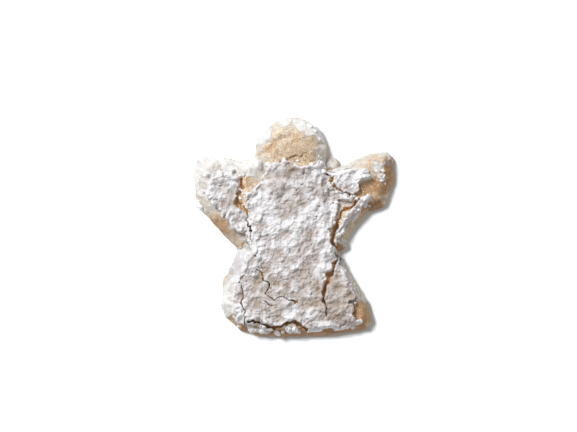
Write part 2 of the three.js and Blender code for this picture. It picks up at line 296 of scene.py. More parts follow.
# %% Where the crust lies
PATCHES = {
    "gown": [(-8.6, 16.8), (-4.2, 18.6), (2.4, 17.6), (7.4, 18.9), (8.4, 16.6), (10.6, 14.8), (11.0, 11.4),
             (17.2, 7.9), (12.6, 6.2), (10.6, -3.8), (12.2, -7.4), (14.2, -13.2), (17.6, -20.6),
             (17.2, -24.0), (17.0, -27.0), (18.8, -29.2), (8.4, -31.6), (3.6, -31.4), (1.3, -29.6),
             (-0.4, -28.9), (-3.0, -29.8), (-7.2, -30.3), (-10.5, -29.3), (-14.2, -28.8), (-17.4, -27.8),
             (-18.0, -21.0), (-16.6, -15.6), (-11.9, -7.6), (-13.2, -3.6), (-13.4, 0.6), (-13.0, 4.6),
             (-15.5, 8.6), (-11.2, 12.2)],
    "left wing": [(-25.5, 14.6), (-21.9, 16.1), (-18.3, 15.5), (-17.1, 14.0), (-17.4, 10.4), (-18.3, 7.4),
                  (-16.5, 5.0), (-14.4, 4.7), (-12.6, 2.9), (-12.4, -1.9), (-12.9, -4.6), (-15.6, -2.8),
                  (-18.9, -0.4), (-21.3, 3.2), (-24.3, 7.4), (-26.1, 10.4)],
    "right wing": [(12.4, 15.6), (14.6, 17.0), (18.6, 16.6), (22.8, 16.2), (22.4, 14.9), (20.0, 14.0),
                   (19.6, 11.0), (17.6, 8.8), (12.6, 11.0)],
    "right band": [(19.2, 8.0), (21.6, 8.8), (21.5, 6.9), (19.5, 3.8), (16.9, 0.9), (14.5, -0.9),
                   (13.5, -4.4), (12.4, -4.0), (12.6, -0.8), (14.6, 0.8), (15.9, 3.1), (17.4, 5.6)],
}
print("the crust has", len(PATCHES), "patches")

# %% Where crust and paste are split
# x, y and half width
CRUST_SPLITS = {
    "right gown": [(12.3, -10.0, 0.2), (11.4, -13.0, 0.45), (9.9, -15.1, 0.65), (9.5, -17.2, 0.55),
                   (8.7, -19.0, 0.6), (8.4, -21.4, 0.3), (9.0, -24.1, 0.15), (9.6, -26.8, 0.12)],
    "right waist": [(18.6, 8.2, 0.4), (16.6, 5.4, 0.6), (13.9, 4.3, 0.45), (12.9, 0.9, 0.55),
                    (11.1, -3.1, 0.6), (11.4, -5.2, 0.4), (12.6, -7.0, 0.25)],
    "right shoulder": [(8.9, 15.9, 0.1), (10.6, 14.7, 0.35), (11.3, 12.2, 0.5), (14.0, 10.6, 0.15),
                       (17.9, 8.5, 0.15)],
    "left wing": [(-15.9, 14.3, 0.35), (-15.8, 11.3, 0.75), (-16.5, 8.9, 0.9), (-17.1, 6.9, 0.9),
                  (-15.6, 5.6, 0.7), (-14.4, 4.6, 0.3), (-14.1, 3.2, 0.14), (-15.0, 2.0, 0.05),
                  (-14.1, 0.8, 0.14), (-13.5, -0.4, 0.14), (-12.9, -2.5, 0.07), (-13.2, -4.6, 0.12)],
    "hem": [(-13.8, -28.4, 0.2), (-10.5, -29.0, 0.3), (-7.2, -30.1, 0.35), (-3.0, -29.5, 0.3),
            (-0.4, -28.5, 0.35), (1.3, -29.2, 0.5), (3.2, -31.0, 0.4)],
    "left gown": [(-11.7, -12.7, 0.08), (-9.9, -13.9, 0.16), (-9.6, -15.4, 0.14), (-7.6, -17.6, 0.18),
                  (-9.0, -19.9, 0.05), (-6.0, -22.0, 0.13), (-4.3, -21.1, 0.07), (-0.3, -22.9, 0.15),
                  (0.9, -23.2, 0.04)],
    "left gown branch": [(-9.0, -22.3, 0.05), (-8.1, -23.5, 0.12), (-6.9, -24.4, 0.06)],
    "left edge": [(-15.6, -18.1, 0.05), (-15.3, -20.2, 0.12), (-16.1, -23.2, 0.12), (-15.2, -25.2, 0.05),
                  (-14.9, -28.9, 0.12)],
}
PASTE_SPLITS = {
    "neck": [(-6.0, 17.9, 0.2), (-3.0, 19.4, 0.25), (-1.5, 20.6, 0.25), (1.5, 21.2, 0.22),
             (3.9, 21.8, 0.1)],
}
CREASES = {
    "brow": [(-10.5, 21.8, 0.2), (-7.6, 22.7, 0.5), (-6.3, 24.5, 0.5), (-4.0, 26.4, 0.3),
             (-1.5, 27.0, 0.1)],
}
print("the crust has", len(CRUST_SPLITS), "splits")

# %% Tearing the edges
# how far a place is shifted, over what length, and the seed
SPLIT_TEARS = [(0.4, 1.6, 30), (0.3, 0.8, 32), (0.14, 0.4, 34)]
PATCH_TEARS = [(0.9, 2.6, 41), (0.3, 0.9, 43)]
SPOT_TEARS = [(0.9, 2.6, 51)]
NARROWEST = 0.05
SPLIT_DEPTH = 1.1
FULL_DEPTH_AT = 0.3  # half width from which a split has its full depth
SHORE = 0.8  # how far inside the outline the crust ends
LOBE, LOBE_SIZE = 2.4, 1.9  # the whole lumps that stand out of a patch's edge
ASKEW = np.array([[0.8, -0.6], [0.6, 0.8]])  # turns a lattice, so that its rows don't line up


def torn(x, y, tears):
    """The plan shifted by noise along both axes, once for each tear."""
    for amount, size, seed in tears:
        at = plan(x, y)
        x, y = x + amount * noise(at, size, seed), y + amount * noise(at, size, seed + 1)
    return x, y


def splits_at(x, y, splits):
    """Distance to the nearest split's edge, negative in the gap, and its half width there. The
    distance to a split's run, less the half width blended along the run, and the least counts."""
    tx, ty = torn(x, y, SPLIT_TEARS)
    nearest, half = np.full(x.shape, np.inf), np.zeros(x.shape)
    for run in splits.values():
        distance, place = run_distance(tx, ty, run, closed=False)
        here = np.interp(place, np.arange(len(run)), [point[2] for point in run])
        half = np.where(distance - here < nearest, here, half)
        nearest = np.minimum(nearest, distance - here)
    return nearest, half


def split_depth(gap, half):
    """How deep the split is: nothing at its edge, falling steeply to its floor, as one minus the
    square of what is left to the middle. Narrow splits are shallower."""
    left = 1 - np.clip(-gap / np.maximum(half, NARROWEST), 0, 1)
    return SPLIT_DEPTH * np.minimum(1, half / FULL_DEPTH_AT) * (1 - left**2)


def patch_depths(x, y):
    """How far inside each torn patch of crust a place lies, negative outside it. Whole lumps stand
    out of the torn edge, and the crust stops short of the upright part of the side."""
    tx, ty = torn(x, y, PATCH_TEARS)
    lobes = LOBE * (lumps(plan(x, y) @ ASKEW, LOBE_SIZE, 47) - 0.5)
    shore = -outline_distance(x, y) - SHORE
    return {
        name: np.minimum(lobes - polygon_distance(tx, ty, corners), shore)
        for name, corners in PATCHES.items()
    }


def crust_depth(x, y):
    """How far inside the crust a place lies: the greatest of its depths in the patches."""
    return np.max(list(patch_depths(x, y).values()), axis=0)


print("at the navel the crust reaches", round(float(crust_depth(*NAVEL[:, None])[0]), 1), "mm round")

# %% [markdown]
# ## Where it is sugared and where it is browned
#
# Sugar lies unevenly: thick on the gown, as a thin dusting on the slopes, and nearly gone on the
# face, where it melted in. The thin places of the edge browned first: a wing's tip and a corner of
# the gown. The side turned from the light is bare of sugar and browner, partly as painted shade. A
# painted image could hold this, but numbers are easier to read and to change. So each map is a list
# of soft round spots over an even start, each over the ones before it.

# %% Spots of sugar
# in all these lists: x, y, radius and the value that the middle of the spot takes
EVEN_SUGAR = 0.55
SUGARED = [
    (-1.0, 23.0, 13.0, 0.58),
    (-0.9, 23.2, 11.0, 0.12),
    (-10.8, 29.6, 5.6, 0.7),
    (-3.6, 32.8, 4.0, 0.7),
    (1.4, 30.6, 2.4, 0.75),
    (4.6, 29.2, 2.8, 0.9),
    (6.8, 26.8, 2.2, 0.8),
    (7.9, 22.6, 2.2, 0.72),
    (8.0, 18.6, 2.6, 0.75),
    (10.6, 22.6, 3.4, 0.12),
    (10.6, 18.2, 3.0, 0.7),
    (-18.0, -12.0, 6.5, 0.85),
    (-21.5, -14.5, 4.6, 0.5),
    (-20.5, -22.0, 6.0, 0.72),
    (-26.0, 17.0, 10.0, 0.8),
    (-15.0, 18.0, 5.0, 0.72),
    (-22.9, 16.0, 3.4, 0.55),
    (-26.6, 13.4, 2.6, 0.5),
    (-20.0, 0.0, 5.0, 0.5),
    # little sugar on the left wing's lower side, partly painted shade
    (-23.8, 1.6, 4.2, 0.15),
    (-28.4, 7.4, 3.0, 0.35),
    (-13.5, 13.0, 3.0, 0.25),
    (22.5, 17.5, 5.0, 0.35),
    (25.4, 17.2, 2.6, 0.8),
    (29.2, 15.6, 4.8, 0.1),
    (28.0, 10.4, 3.6, 0.12),
    (20.8, 2.6, 3.4, 0.2),
    (23.4, 11.2, 4.0, 0.2),
    (19.6, 10.4, 2.6, 0.1),
    (19.2, -26.2, 4.0, 0.25),
    (18.4, -30.4, 2.0, 0.7),
    (14.0, 2.2, 2.0, 0.4),
    (25.8, 14.4, 1.6, 0.72),
    (16.0, -14.0, 4.0, 0.6),
]
print("the sugar has", len(SUGARED), "spots")

# %% Spots of browning
EVEN_BROWN = 0.1
BROWNED = [
    (-0.5, 22.2, 9.8, 0.35),
    (-5.6, 27.2, 4.6, 0.2),
    (-7.0, 23.4, 2.6, 0.4),
    (10.4, 22.6, 4.6, 0.1),
    (-9.5, 30.0, 5.0, 0.16),
    (-13.5, 12.8, 3.2, 0.34),
    # browner under the gown's overhanging tip, partly painted shade
    (-16.0, 8.6, 3.0, 0.46),
    (19.4, 10.4, 3.6, 0.56),
    (24.0, 18.0, 5.0, 0.32),
    (23.4, 11.0, 4.0, 0.63),
    (24.4, 8.0, 3.4, 0.36),
    (28.8, 17.6, 4.6, 0.72),
    (28.4, 12.4, 3.8, 0.68),
    (26.4, 7.4, 2.4, 0.5),
    (14.5, -23.0, 8.0, 0.45),
    (19.6, -26.2, 4.8, 0.6),
    (15.5, 2.5, 6.0, 0.3),
    (-12.5, -23.0, 7.0, 0.42),
    (-21.0, -15.0, 5.0, 0.2),
    (-18.0, 0.5, 5.0, 0.4),
    # browner on the left wing's lower side, partly painted shade
    (-22.6, 0.2, 5.0, 0.55),
    (6.6, 17.6, 3.0, 0.36),
]
print("the browning has", len(BROWNED), "spots")

# %% Thin places of the crust, and spots of painted shade
# where the crust is thin, paste shows between its lumps
THINNED = [
    (15.5, -24.5, 7.5, 0.7),
    (15.0, -15.0, 5.0, 0.8),
    (-12.5, -23.5, 6.0, 0.8),
    (-8.0, -14.5, 4.0, 0.85),
    (17.0, 3.5, 6.0, 0.62),
    (-18.0, 0.5, 5.0, 0.75),
]
# painted shade: spots where the crust's sugar is darker, as if shaded
EVEN_SHADE = 0.04
SHADED_SPOTS = [
    (-2.0, 12.0, 10.0, 0.25),
    (-6.0, 11.5, 3.6, 0.38),
    (-9.0, -21.0, 10.0, 0.26),
    (11.5, -22.0, 8.6, 0.5),
    (-14.0, -9.5, 3.0, 0.3),
    (-20.0, -11.5, 6.5, 0.55),
    (-10.0, 29.5, 5.0, 0.2),
    (-20.0, 1.0, 5.0, 0.12),
]
print("the crust has", len(THINNED), "thin and", len(SHADED_SPOTS), "places of painted shade")

# %% Maps of sugar and browning
LOW_BROWN, LOW_BAND = 0.2, (8.5, 3.5)  # how brown it is, and the heights between which that sets in
FOOT_BROWN, FOOT_BAND = 0.42, (2.5, 0.3)
SPLIT_BROWN, SPLIT_BAND = 0.56, (0.25, -0.1)  # here the band is a distance from the split's edge
# The side turned from the light, towards the hem, is bare of sugar and browner: partly browned in baking,
# partly painted shade.
BARE_SHADED_SIDE = (0.1, -1.0)  # the sides that face this way lost their sugar, and browned
BARE_BAND = (-3.2, -1.2)  # distances from the outline over which the side begins
BARE_FACING = (0.4, 0.95)
FACING_STEP = 0.3
# how brown that side is, partly painted shade
SIDE_BROWN_AND_SHADE = 0.82


def spotted(x, y, start, spots):
    """A map that starts even and takes each spot's value, fading over the outer half of it."""
    value = np.full(x.shape, float(start))
    wx, wy = torn(x, y, SPOT_TEARS)
    for spot_x, spot_y, radius, level in spots:
        value = mix(value, level, ramp(np.hypot(wx - spot_x, wy - spot_y), radius, radius / 2))
    return value


def spotted_shade(x, y):
    """How much painted shade the sugar takes from the spots."""
    return spotted(x, y, EVEN_SHADE, SHADED_SPOTS)


def bare_and_shaded_side(x, y):
    """How bare of sugar the side is, and so how much painted shade it takes, 1 where it faces the way
    turned from the light: there a small step that way comes nearer to the outline by as much."""
    here = outline_distance(x, y)
    stepped = outline_distance(x + FACING_STEP * BARE_SHADED_SIDE[0], y + FACING_STEP * BARE_SHADED_SIDE[1])
    return ramp((stepped - here) / FACING_STEP, *BARE_FACING) * ramp(here, *BARE_BAND)


def sugar_spots(x, y):
    """How much sugar fell on each place."""
    return spotted(x, y, EVEN_SUGAR, SUGARED)


def sugar_cover(x, y):
    """How much sugar lies on bare paste: what fell there, and none on the side turned from the light,
    which takes painted shade.
    """
    return sugar_spots(x, y) * (1 - bare_and_shaded_side(x, y))


def browning(x, y, z, gap):
    """Browning of bare paste: the greatest of the spots, the golden lower side, the darker edge
    round the foot, which met the tray, the golden paste in a split, and the side turned from the light,
    browned partly as painted shade."""
    return np.maximum.reduce([
        spotted(x, y, EVEN_BROWN, BROWNED),
        LOW_BROWN * ramp(z, *LOW_BAND),
        FOOT_BROWN * ramp(z, *FOOT_BAND),
        SPLIT_BROWN * ramp(gap, *SPLIT_BAND),
        # partly painted shade: the side turned from the light is browner
        SIDE_BROWN_AND_SHADE * bare_and_shaded_side(x, y),
    ])


FACE = np.array(LIMBS["head"]["corners"])
print("the sugar cover in the middle of the face is", round(float(sugar_cover(*FACE.T)[0]), 2))

# %% [markdown]
# ## From arrays to a piece
#
# `from_pydata` takes any list of corners and faces. One helper makes every piece: it moves the
# millimetres of the drawing into the frame's metres, hands the maps to the mesh as named attributes
# for the material to read, and shades the chosen faces smooth.

# %% A helper for every piece
BODY, SLOT = "root", "baked_paste"
print("every piece rides on", BODY, "and replaces", NODE)


def piece(name, points, faces, material, maps=None, smooth=None):
    """A mesh object from points in millimetres, faces as a list of arrays, and one value of each
    map for every point."""
    mesh = bpy.data.meshes.new(name)
    mesh.from_pydata(((points + to_frame) * MM).tolist(), [], [f for rows in faces for f in rows.tolist()])
    mesh.shade_smooth()
    if smooth is not None:
        flat = mesh.attributes.new("sharp_face", "BOOLEAN", "FACE")
        flat.data.foreach_set("value", ~smooth)
    for label, values in (maps or {}).items():
        layer = mesh.attributes.new(label, "FLOAT", "POINT")
        layer.data.foreach_set("value", values.astype(np.float32).ravel())
    mesh.materials.append(material)
    made = bpy.data.objects.new(name, mesh)
    bpy.context.scene.collection.objects.link(made)
    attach(made, BODY)
    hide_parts(NODE)
    print(name, "has", sum(len(rows) * (rows.shape[1] - 2) for rows in faces), "triangles")
    return made


# %% [markdown]
# ## Finishes
#
# Two things show: powdered sugar and baked paste. Each is a node group that gives a colour and a
# height, so the same sugar can lie on crust, slopes and crumbs, and a third group decides where a
# dusting lies. All patterns read Object coordinates, which stay put on the cookie. Short helpers
# add and link the nodes, so that a group reads like the sum that it works out.

# %% Helpers for nodes


def add(tree, kind, feeds=(), **settings):
    """Adds a node, sets its settings, and feeds its inputs, each with a value or from a socket."""
    made = tree.nodes.new(kind)
    for setting, value in settings.items():
        setattr(made, setting, value)
    for socket, value in dict(feeds).items():
        if isinstance(value, bpy.types.NodeSocket):
            tree.links.new(value, made.inputs[socket])
        else:
            made.inputs[socket].default_value = value
    return made


def speckle(tree, per_mm, detail=2.0, roughness=0.5):
    """Noise with about that many bends to a millimetre."""
    coordinates = add(tree, "ShaderNodeTexCoord").outputs["Object"]
    feeds = {"Vector": coordinates, "Scale": per_mm / MM, "Detail": detail, "Roughness": roughness}
    return add(tree, "ShaderNodeTexNoise", feeds).outputs["Fac"]


def sum_of(tree, a, b, operation="ADD"):
    """The sum of two numbers, or what another operation makes of them."""
    return add(tree, "ShaderNodeMath", {0: a, 1: b}, operation=operation).outputs[0]


def swing(tree, noise_socket, amount):
    """Noise that swings about nought instead of a half, times an amount."""
    return sum_of(tree, sum_of(tree, noise_socket, 0.5, "SUBTRACT"), amount, "MULTIPLY")


def eased(tree, value, start, end):
    """An S-curve from 0 at start to 1 at end."""
    feeds = {"Value": value, "From Min": start, "From Max": end}
    return add(tree, "ShaderNodeMapRange", feeds, interpolation_type="SMOOTHSTEP").outputs["Result"]


def blended(tree, share, a, b):
    """Two colours blended by a share. Sockets 6 and 7 of a Mix node are its colours, 2 its result."""
    return add(tree, "ShaderNodeMix", {0: share, 6: a, 7: b}, data_type="RGBA").outputs[2]


def graded(tree, share, stops):
    """A colour picked from the stops by a share from 0 to 1."""
    picker = add(tree, "ShaderNodeValToRGB", {"Fac": share})
    marks = picker.color_ramp.elements
    while len(marks) < len(stops):
        marks.new(0.5)
    for mark, (place, colour) in zip(marks, stops.items()):
        mark.position, mark.color = place, colour
    return picker.outputs["Color"]


# %% Helpers for node groups
NUMBER, COLOUR = "NodeSocketFloat", "NodeSocketColor"
LAYER = {"Colour": COLOUR, "Height": NUMBER}  # what the groups for sugar and for paste give


def new_group(name, inputs, outputs):
    """An empty node group, with its input and output nodes."""
    group = bpy.data.node_groups.new(name, "ShaderNodeTree")
    for label, kind in inputs.items():
        group.interface.new_socket(label, in_out="INPUT", socket_type=kind)
    for label, kind in outputs.items():
        group.interface.new_socket(label, in_out="OUTPUT", socket_type=kind)
    return group, add(group, "NodeGroupInput").outputs, add(group, "NodeGroupOutput")


def give(group, output, **results):
    """Links each result to the output that has its name."""
    for label, socket in results.items():
        group.links.new(socket, output.inputs[label])


# %% [markdown]
# ## Powdered sugar
#
# Dry powder is the whitest thing here, yet on the crust it looks grey-violet between its lumps and
# warm in its hollows. Rendering real grains and their shadows would take millions of faces. So their
# shade is painted: a map of painted shade picks a darker, warmer colour on a ramp, the warmth partly
# paste showing through, and noise unsettles it, but less on clean sugar.

# %% The sugar's node group
# Colours by painted shade: white for smooth sugar, a cooler grey on the tops of lumps, painted with the
# cool tint of the light, then darker and warmer where the painted shade is deepest.
SUGAR_STOPS = {
    0.0: (0.95, 0.93, 0.90, 1),
    0.35: (0.79, 0.79, 0.82, 1),
    0.62: (0.61, 0.575, 0.575, 1),
    1.0: (0.42, 0.35, 0.295, 1),
}
# The next number is an amount of painted shade, from which the noise has its full effect.
UNEVEN_AT = 0.35  # how hollow the sugar is from where the noise has its full effect
CLEAN_SHARE = 0.45  # the share of that effect on clean sugar


def powdered_sugar():
    """Dry powder: white where it lies smooth, darker by painted shade where lumps shade themselves, and
    warmer in its hollows, partly painted shade and partly paste showing through. Its height is a mealy
    grain with finer grain on it."""
    group, given, output = new_group("powdered sugar", {"Painted_Shade": NUMBER}, LAYER)
    grain = speckle(group, per_mm=2.6, detail=3, roughness=0.7)
    fine = speckle(group, per_mm=7.5)
    patchy = swing(group, speckle(group, per_mm=0.6, detail=4, roughness=0.6), amount=0.5)
    gritty = swing(group, grain, amount=-0.5)
    rising = {"Value": given["Painted_Shade"], "From Max": UNEVEN_AT, "To Min": CLEAN_SHARE}
    unsettled = add(group, "ShaderNodeMapRange", rising).outputs["Result"]
    uneven = sum_of(group, sum_of(group, patchy, gritty), unsettled, "MULTIPLY")
    share = sum_of(group, given["Painted_Shade"], uneven)
    height = sum_of(group, grain, sum_of(group, fine, 0.45, "MULTIPLY"))
    give(group, output, Colour=graded(group, share, SUGAR_STOPS), Height=height)
    return group


sugar_group = powdered_sugar()
print("powdered sugar has", len(sugar_group.nodes), "nodes")

# %% [markdown]
# ## Baked almond paste
#
# Paste of ground almonds bakes from cream to tan, gold and brown, and looks sandy because each
# almond crumb browns by itself. A single colour would look like plastic. So the `brown` map picks
# the colour on a ramp through those colours, and two noises shift it: a broad one for blotches and
# a fine one for the sand, which also lifts the surface.

# %% The paste's node group
PASTE_STOPS = {
    0.0: (0.92, 0.86, 0.76, 1),
    0.15: (0.88, 0.79, 0.65, 1),
    0.33: (0.75, 0.575, 0.405, 1),
    0.5: (0.64, 0.43, 0.24, 1),
    0.72: (0.54, 0.29, 0.14, 1),
    1.0: (0.29, 0.145, 0.07, 1),
}


def baked_paste():
    """Ground almonds and sugar: cream, then tan, golden and brown as it bakes, mottled because the
    ground almonds brown unevenly. Its height is a sandy crumb with pores."""
    group, given, output = new_group("baked paste", {"Brown": NUMBER}, LAYER)
    mottle = speckle(group, per_mm=0.8, detail=4, roughness=0.65)
    grain = speckle(group, per_mm=3.2, detail=3, roughness=0.6)
    uneven = sum_of(group, swing(group, mottle, amount=0.85), swing(group, grain, amount=1.5))
    share = sum_of(group, given["Brown"], uneven)
    height = sum_of(group, grain, sum_of(group, mottle, 0.8, "MULTIPLY"))
    give(group, output, Colour=graded(group, share, PASTE_STOPS), Height=height)
    return group


paste_group = baked_paste()
print("baked paste has", len(paste_group.nodes), "nodes")

# %% [markdown]
# ## A dusting, and the finish
#
# Thin sugar isn't a white film: it lies as flecks, then as patches, then as a cover with pinholes.
# Comparing noise with a threshold gives all three from one pattern, as the `sugar` map moves the
# threshold. Each material then lays sugar over paste by that mask, and bumps both by their heights.

# %% The dusting's node group
BARE_THRESHOLD, FULL_THRESHOLD = 0.7, 0.14
FLECK_EDGE = 0.17


def dusting():
    """Where a thin dusting lies: 1 where fine noise passes a threshold that falls as cover rises."""
    group, given, output = new_group("dusting", {"Cover": NUMBER}, {"Mask": NUMBER})
    flecks = speckle(group, per_mm=0.9, detail=6, roughness=0.75)
    falling = {"Value": given["Cover"], "To Min": BARE_THRESHOLD, "To Max": FULL_THRESHOLD}
    start = add(group, "ShaderNodeMapRange", falling).outputs["Result"]
    give(group, output, Mask=eased(group, flecks, start, sum_of(group, start, FLECK_EDGE)))
    return group


dusting_group = dusting()
print("the dusting has", len(dusting_group.nodes), "nodes")

# %% The finish of the sugared paste
DUST_HEIGHT = 0.6  # how high the dusting stands, in parts of the bump
SHINE = 0.25


def finish(name, bump, sugar_rough, paste_rough):
    """Sugar over paste: the sugar, brown and painted shade maps drive the groups, the dusting's mask lays
    one over the other, and their heights become one bump, bump millimetres high."""
    material = bpy.data.materials.new(name)
    material.use_nodes = True
    tree = material.node_tree
    shader = tree.nodes["Principled BSDF"]
    maps = {
        label: add(tree, "ShaderNodeAttribute", attribute_name=label).outputs["Fac"]
        for label in ("sugar", "brown", "painted_shade")
    }
    # the painted shade map darkens the sugar's colour
    sugar = add(tree, "ShaderNodeGroup", {"Painted_Shade": maps["painted_shade"]}, node_tree=sugar_group).outputs
    paste = add(tree, "ShaderNodeGroup", {"Brown": maps["brown"]}, node_tree=paste_group).outputs
    dust = add(tree, "ShaderNodeGroup", {"Cover": maps["sugar"]}, node_tree=dusting_group).outputs
    mask = dust["Mask"]
    colour = blended(tree, mask, paste["Colour"], sugar["Colour"])
    height = add(tree, "ShaderNodeMix", {0: mask, 2: paste["Height"], 3: sugar["Height"]})
    raised = sum_of(tree, height.outputs[0], sum_of(tree, mask, DUST_HEIGHT, "MULTIPLY"))
    rough = add(tree, "ShaderNodeMapRange", {"Value": mask, "To Min": paste_rough, "To Max": sugar_rough})
    normal = add(tree, "ShaderNodeBump", {"Height": raised, "Strength": 1.0, "Distance": bump * MM})
    tree.links.new(colour, shader.inputs["Base Color"])
    tree.links.new(rough.outputs["Result"], shader.inputs["Roughness"])
    tree.links.new(normal.outputs["Normal"], shader.inputs["Normal"])
    shader.inputs["Specular IOR Level"].default_value = SHINE
    return material


dusted_paste = finish("dusted paste", bump=0.5, sugar_rough=0.95, paste_rough=0.68)
sugar_crust = finish("sugar crust", bump=0.24, sugar_rough=0.96, paste_rough=0.6)
loose_sugar = finish("loose sugar", bump=0.08, sugar_rough=0.96, paste_rough=0.7)
print("the finishes are", [made.name for made in (dusted_paste, sugar_crust, loose_sugar)])

# %% [markdown]
# ## The baked paste
#
# The paste is one closed skin, worked out on a grid of rings and columns. The rings start at the
# middle of the underside, turn round the tucked-in base, climb the side and close in on the top's
# middle. Columns stand evenly along the outline and fan out evenly near the middle, which keeps the
# faces alike. The skin is then roughened along its own normals, and the splits are pressed into it.

# %% The rings of the paste
COLUMNS = 1000
UNDER_RINGS, TUCK_RINGS, SIDE_RINGS, TOP_RINGS = 5, 8, 26, 62
TUCK = 1.1
SIDE_BAND = 4.6
UNBUNCH = 1.3  # above 1 the columns keep even angles over more of the top
CROWD_OUT = 1.3  # above 1 the top's rings crowd towards the side, where bare paste shows


def paste_grid():
    """Rings of points. A ring takes its share of the way out from the navel, its columns' angles
    pass from even by angle to even along the outline with that share, and its height comes from
    the base's quarter ellipse or from the paste's height."""
    even = np.linspace(0, 2 * np.pi, COLUMNS, endpoint=False)
    along = np.interp(np.linspace(0, walked[-1], COLUMNS, endpoint=False), walked, fine_angles)
    even = even + np.mean(along - even)

    def ring(share, inward, shrink=1.0):
        angles = mix(even, along, share**UNBUNCH)
        r = (np.interp(angles, fine_angles, fine_reach, period=2 * np.pi) - inward) * shrink
        return NAVEL[0] + r * np.cos(angles), NAVEL[1] + r * np.sin(angles)

    rings = []
    for share in np.linspace(0, 1, UNDER_RINGS, endpoint=False):
        rings.append((*ring(share, TUCK, share), np.zeros(COLUMNS)))
    for turn in np.linspace(0, np.pi / 2, TUCK_RINGS):
        x, y = ring(1, TUCK * (1 - np.sin(turn)))
        rings.append((x, y, np.full(COLUMNS, BELLY * (1 - np.cos(turn)))))
    for share in np.linspace(0, 1, SIDE_RINGS + 1)[1:]:
        x, y = ring(1, SIDE_BAND * share**2)
        rings.append((x, y, paste_height(x, y)))
    for share in 1 - np.linspace(0, 1, TOP_RINGS + 1)[1:] ** CROWD_OUT:
        x, y = ring(share, SIDE_BAND, share)
        rings.append((x, y, paste_height(x, y)))
    return np.array(rings).transpose(0, 2, 1)


def grid_normals(grid):
    """Outward normals of a grid that is closed round its columns: the cross product of the step to
    the next column and the step to the next ring."""
    across = np.roll(grid, -1, axis=1) - np.roll(grid, 1, axis=1)
    upward = np.gradient(grid, axis=0)
    normals = np.cross(across, upward)
    return normals / np.maximum(np.linalg.norm(normals, axis=-1, keepdims=True), 1e-9)


smooth_paste = paste_grid()
print("the paste has", smooth_paste.shape[0], "rings of", COLUMNS, "points")

# %% Roughening the paste
ASKEW_3D = np.array([[0.67, -0.67, 0.33], [0.33, 0.67, 0.67], [-0.67, -0.33, 0.67]])


def paste_relief(points, sugar):
    """How far the paste stands proud of its smooth form: swells and a sandy grain, and where sugar
    lies on it small packed lumps, the larger ones in groups."""
    points = points @ ASKEW_3D
    swells = 0.2 * noise(points, 2.1, 61) + 0.1 * noise(points @ ASKEW_3D, 1.1, 62)
    sandy = 0.18 * lumps(points, 0.55, 65)
    grouped = ramp(noise(points, 2.6, 70), -0.2, 0.5)
    clumps = 0.25 * lumps(points, 0.8, 63) + 0.6 * lumps(points, 1.2, 64) * grouped
    return swells + sandy + clumps * ramp(sugar, 0.2, 0.65)


x, y, z = np.moveaxis(smooth_paste, -1, 0)
cover = sugar_cover(x, y)
relief = paste_relief(smooth_paste, cover) * ramp(z, 0, 1)
paste_points = smooth_paste + grid_normals(smooth_paste) * relief[..., None]
print("the grain stands", round(float(relief.min()), 2), "to", round(float(relief.max()), 2), "mm proud")

# %% Pressing in the splits
TOP_BAND = (5, 8)  # heights over which the side passes into the top
SUNK, SINK_WIDTH = 3.6, 0.9  # how far the paste steps back under the crust's splits
CRUST_BED, BED_BAND = 0.7, (0.3, 1.0)  # how far the paste steps back under the crust
OWN_SPLIT = 1.2  # how deep its own splits are, against the crust's
CREASE_DEPTH, CREASE_BROWN, CREASE_BAND = 0.55, 0.42, (0.9, -0.3)
SUGAR_FADE, FADE_WAVER = (0, 5.5), 2  # heights over which the sugar on the side sets in

own_gap, own_half = splits_at(x, y, PASTE_SPLITS)
crust_gap, _ = splits_at(x, y, CRUST_SPLITS)
crease_gap, _ = splits_at(x, y, CREASES)
creased = ramp(crease_gap, *CREASE_BAND)
paste_points[..., 2] -= ramp(z, *TOP_BAND) * (
    OWN_SPLIT * split_depth(own_gap, own_half)
    + CREASE_DEPTH * creased
    + CRUST_BED * ramp(crust_depth(x, y), *BED_BAND)
    + SUNK * ramp(crust_gap, SINK_WIDTH, SINK_WIDTH / 3)
)
fading = ramp(z + FADE_WAVER * noise(smooth_paste @ ASKEW_3D, 2.4, 71), *SUGAR_FADE)
paste_maps = {
    "sugar": cover * fading * ramp(own_gap, -0.1, 0.3),
    "brown": np.maximum(browning(x, y, z, own_gap), CREASE_BROWN * creased),
    # the dusting takes only the spots of painted shade
    "painted_shade": spotted_shade(x, y),
}
print("the maps of the paste are", list(paste_maps))


# %% The skin of the paste
def skin_faces(rings, columns):
    """Faces of a closed skin: a fan from the first pole, quads between the rings, and a fan to the
    last pole. The poles are the first and the last point."""
    here = 1 + np.arange(rings * columns).reshape(rings, columns)
    beside = np.roll(here, -1, axis=1)
    foot = np.stack([np.zeros(columns, int), beside[0], here[0]], axis=-1)
    quads = np.stack([here[:-1], beside[:-1], beside[1:], here[1:]], axis=-1).reshape(-1, 4)
    crown = np.stack([here[-1], beside[-1], np.full(columns, rings * columns + 1)], axis=-1)
    return [foot, quads, crown]


def with_poles(values):
    """The values ring by ring, with one value for each pole in place of its ring."""
    inner = values[1:-1].reshape(-1, *values.shape[2:])
    return np.concatenate([values[0, :1], inner, values[-1, :1]])


piece(
    "baked_paste",
    with_poles(paste_points),
    skin_faces(paste_points.shape[0] - 2, COLUMNS),
    dusted_paste,
    {label: with_poles(values) for label, values in paste_maps.items()},
)

# %% [markdown]
# ## The sugar crust
#
# The crust is a layer about a millimetre thick, lumpy like popcorn, with rounded broken edges. A
# height over an even grid suits it, because it is seen from above and has no overhangs. Where the
# crust ends, the height dives under the paste, and grid blocks that are wholly under it are left
# out. The slab is closed by upright walls and a coarse underside inside the paste.

